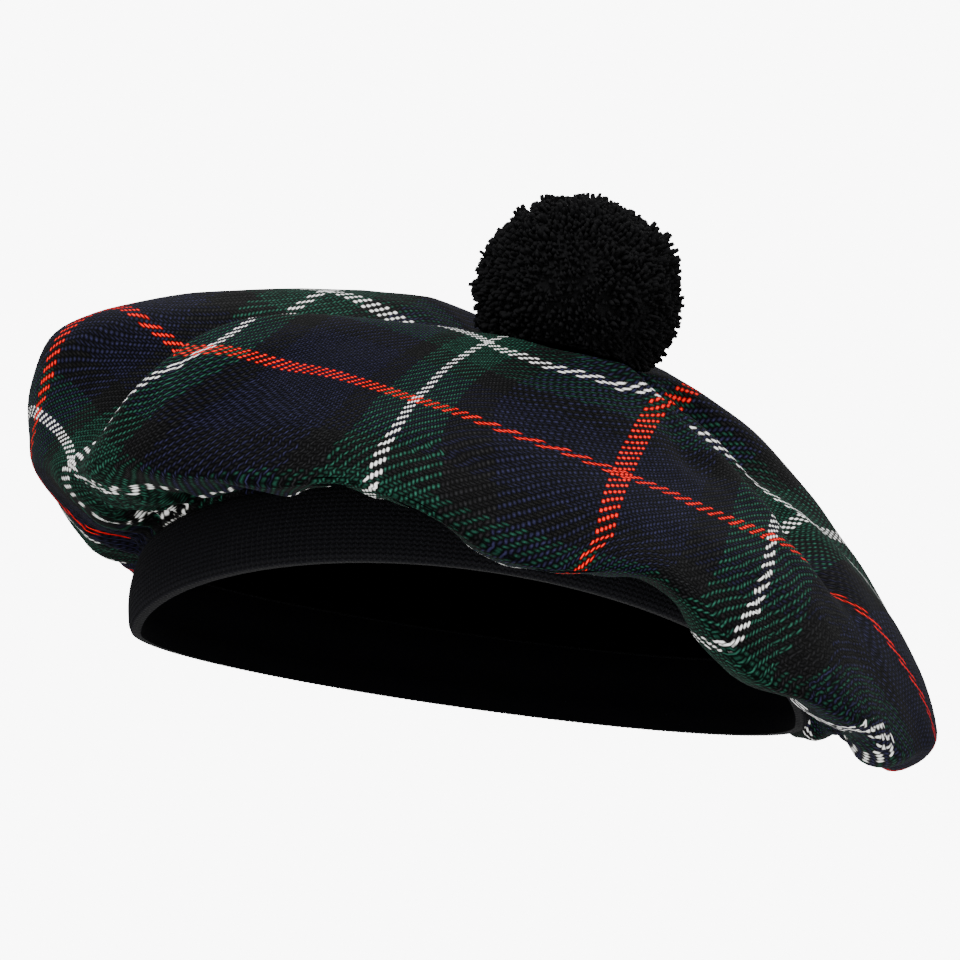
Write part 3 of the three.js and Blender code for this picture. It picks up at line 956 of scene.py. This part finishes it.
class TAM_OT_pompom(bpy.types.Operator):
    """Bind the cut yarn of the pompom"""

    bl_idname = "tam.pompom"
    bl_label = "Pompom"

    def execute(self, context):
        props = context.scene.tam_trim
        low, high = (Vector(corner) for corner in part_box("pompom"))
        low.z -= POMPOM_SINK
        centre, half = (low + high) / 2, (high - low) / 2
        dice = random.Random(props.seed)
        noise.seed_set(props.seed)
        points, faces = [], []
        under = crown_grid()[2][:sum(CROWN_STEPS[:SEAT_FORMS])].reshape(-1, 3)
        seat, seat_heights = kdtree.KDTree(len(under)), under[:, 2].tolist()
        for i, (x, y, _) in enumerate(under):
            seat.insert((x, y, 0), i)
        seat.balance()

        def seated(point):
            """The point, lifted where it would sink into the crown under the pompom."""
            cloth_height = seat_heights[seat.find((point.x, point.y, 0))[1]] + YARN_CLEARANCE
            return Vector((point.x, point.y, max(point.z, cloth_height)))

        def strand(direction, length, width, lean):
            """One strand: a thin three sided spike from the core to its cut end."""
            reach = Vector((half.x * direction.x, half.y * direction.y, half.z * direction.z))
            start, tip = reach * STRAND_START, reach * length
            bend = lean * half.x
            side = direction.orthogonal().normalized()
            other = direction.cross(side)
            first = len(points)
            for step, swell in STRAND_RINGS:
                middle = seated(centre + start.lerp(tip, step) + bend * step * step)
                for k in range(STRAND_SIDES):
                    angle = TURN * k / STRAND_SIDES
                    ring = side * math.cos(angle) + other * math.sin(angle)
                    points.append(middle + ring * width * swell)
            last = first + STRAND_SIDES * (len(STRAND_RINGS) - 1)
            for a in range(first, last, STRAND_SIDES):
                b = a + STRAND_SIDES
                for k in range(STRAND_SIDES):
                    n = (k + 1) % STRAND_SIDES
                    faces.append((a + k, a + n, b + n, b + k))
            faces.append((last, last + 1, last + 2))
            faces.append((first + 2, first + 1, first))

        golden = math.pi * (3 - math.sqrt(5))
        for i in range(props.strands):
            z = 1 - 2 * (i + 0.5) / props.strands
            around = math.sqrt(1 - z * z)
            direction = Vector((around * math.cos(golden * i), around * math.sin(golden * i), z))
            stray = Vector([dice.uniform(-STRAY_LEAN, STRAY_LEAN) for _ in range(3)])
            lean = noise.noise_vector(direction * TUFT_SCALE) * TUFT_LEAN + stray
            wave = STRAND_WAVES * noise.noise(direction * STRAND_WAVE_SCALE)
            length = STRAND_LENGTH + wave + dice.uniform(*STRAND_CHANCE)
            if direction.dot(LOOSE_TUFT) > LOOSE_TUFT_EDGE:
                length += dice.uniform(0, LOOSE_TUFT_LENGTH)
            strand(direction, length, dice.uniform(*STRAND_WIDTHS) * MM, lean)
        piece = mesh_object("yarn_pompom", points, faces)
        core = bpy.data.meshes.new("pompom_core")
        build = bmesh.new()
        bmesh.ops.create_icosphere(build, subdivisions=CORE_SUBDIVISIONS, radius=1)
        for vertex in build.verts:
            out = vertex.co.normalized()
            size = CORE_SIZE
            for scale in CORE_LUMP_SCALES:
                size += CORE_LUMP * noise.noise(out * scale)
            vertex.co = seated(
                centre + Vector((half.x * out.x, half.y * out.y, half.z * out.z)) * size,
            )
        build.from_mesh(piece.data)
        for face in build.faces:
            face.smooth = True
        build.to_mesh(core)
        build.free()
        piece.data = core
        piece.data.materials.append(black_yarn(props))
        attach(piece, "root")
        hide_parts("pompom")
        return {"FINISHED"}


class TAM_OT_stage(bpy.types.Operator):
    """Set the floor, the soft studio light and the camera"""

    bl_idname = "tam.stage"
    bl_label = "Stage"

    def execute(self, context):
        scene = context.scene
        corners = [(-1, -1), (1, -1), (1, 1), (-1, 1)]
        floor = mesh_object(
            "floor",
            [(x * FLOOR_REACH, y * FLOOR_REACH, FLOOR_HEIGHT) for x, y in corners],
            [(0, 1, 2, 3)],
        )
        floor.data.materials.append(plain_white())
        world = bpy.data.worlds.new("soft_white_studio")
        scene.world = world
        world.use_nodes = True
        tree = world.node_tree
        tree.nodes.clear()
        seen = add(tree, "ShaderNodeLightPath").outputs["Is Camera Ray"]
        wall = add(tree, "ShaderNodeBackground", Color=(1, 1, 1, 1), Strength=WALL_BRIGHTNESS)
        glow = add(tree, "ShaderNodeBackground", Color=(1, 1, 1, 1), Strength=GLOW_BRIGHTNESS)
        mixed = add(tree, "ShaderNodeMixShader", i0=seen, i1=glow.outputs[0], i2=wall.outputs[0])
        add(tree, "ShaderNodeOutputWorld", Surface=mixed.outputs[0])
        for name, place, width, power in SOFTBOXES:
            lamp = bpy.data.lights.new(name + "_softbox", "AREA")
            lamp.size = width
            lamp.energy = power
            light = bpy.data.objects.new(name + "_softbox", lamp)
            light.location = place
            aim = CAMERA_TARGET - Vector(place)
            light.rotation_euler = aim.to_track_quat("-Z", "Y").to_euler()
            scene.collection.objects.link(light)
        camera = bpy.data.cameras.new("camera")
        camera.sensor_width = CAMERA_SENSOR
        camera.lens = CAMERA_SENSOR * CAMERA_DISTANCE / VIEW_WIDTH
        camera.clip_start, camera.clip_end = CAMERA_CLIP
        viewer = bpy.data.objects.new("camera", camera)
        back = Vector((0, -math.cos(CAMERA_ELEVATION), math.sin(CAMERA_ELEVATION)))
        viewer.location = CAMERA_TARGET + back * CAMERA_DISTANCE
        turn = (-back).to_track_quat("-Z", "Y") @ Quaternion((0, 0, 1), CAMERA_ROLL)
        viewer.rotation_euler = turn.to_euler()
        scene.collection.objects.link(viewer)
        scene.camera = viewer
        return {"FINISHED"}


class TAM_PT_panel(bpy.types.Panel):
    """The tam's pieces and their sizes"""

    bl_idname = "TAM_PT_panel"
    bl_label = "Tam o Shanter"
    bl_space_type = "VIEW_3D"
    bl_region_type = "UI"
    bl_category = "Tam"

    def draw(self, context):
        layout = self.layout
        for group in (context.scene.tam_cloth, context.scene.tam_trim):
            box = layout.box()
            for name in group.__annotations__:
                box.prop(group, name)
        for operator in OPERATORS:
            layout.operator(operator.bl_idname)


OPERATORS = (TAM_OT_stage, TAM_OT_crown, TAM_OT_headband, TAM_OT_pompom)
CLASSES = (TamCloth, TamTrim, *OPERATORS, TAM_PT_panel)


def register():
    for cls in CLASSES:
        bpy.utils.register_class(cls)
    bpy.types.Scene.tam_cloth = bpy.props.PointerProperty(type=TamCloth)
    bpy.types.Scene.tam_trim = bpy.props.PointerProperty(type=TamTrim)


def unregister():
    del bpy.types.Scene.tam_trim
    del bpy.types.Scene.tam_cloth
    for cls in reversed(CLASSES):
        bpy.utils.unregister_class(cls)


def main():
    register()
    bpy.ops.tam.stage()
    bpy.ops.tam.crown()
    bpy.ops.tam.headband()
    bpy.ops.tam.pompom()


if __name__ == "__main__":
    main()
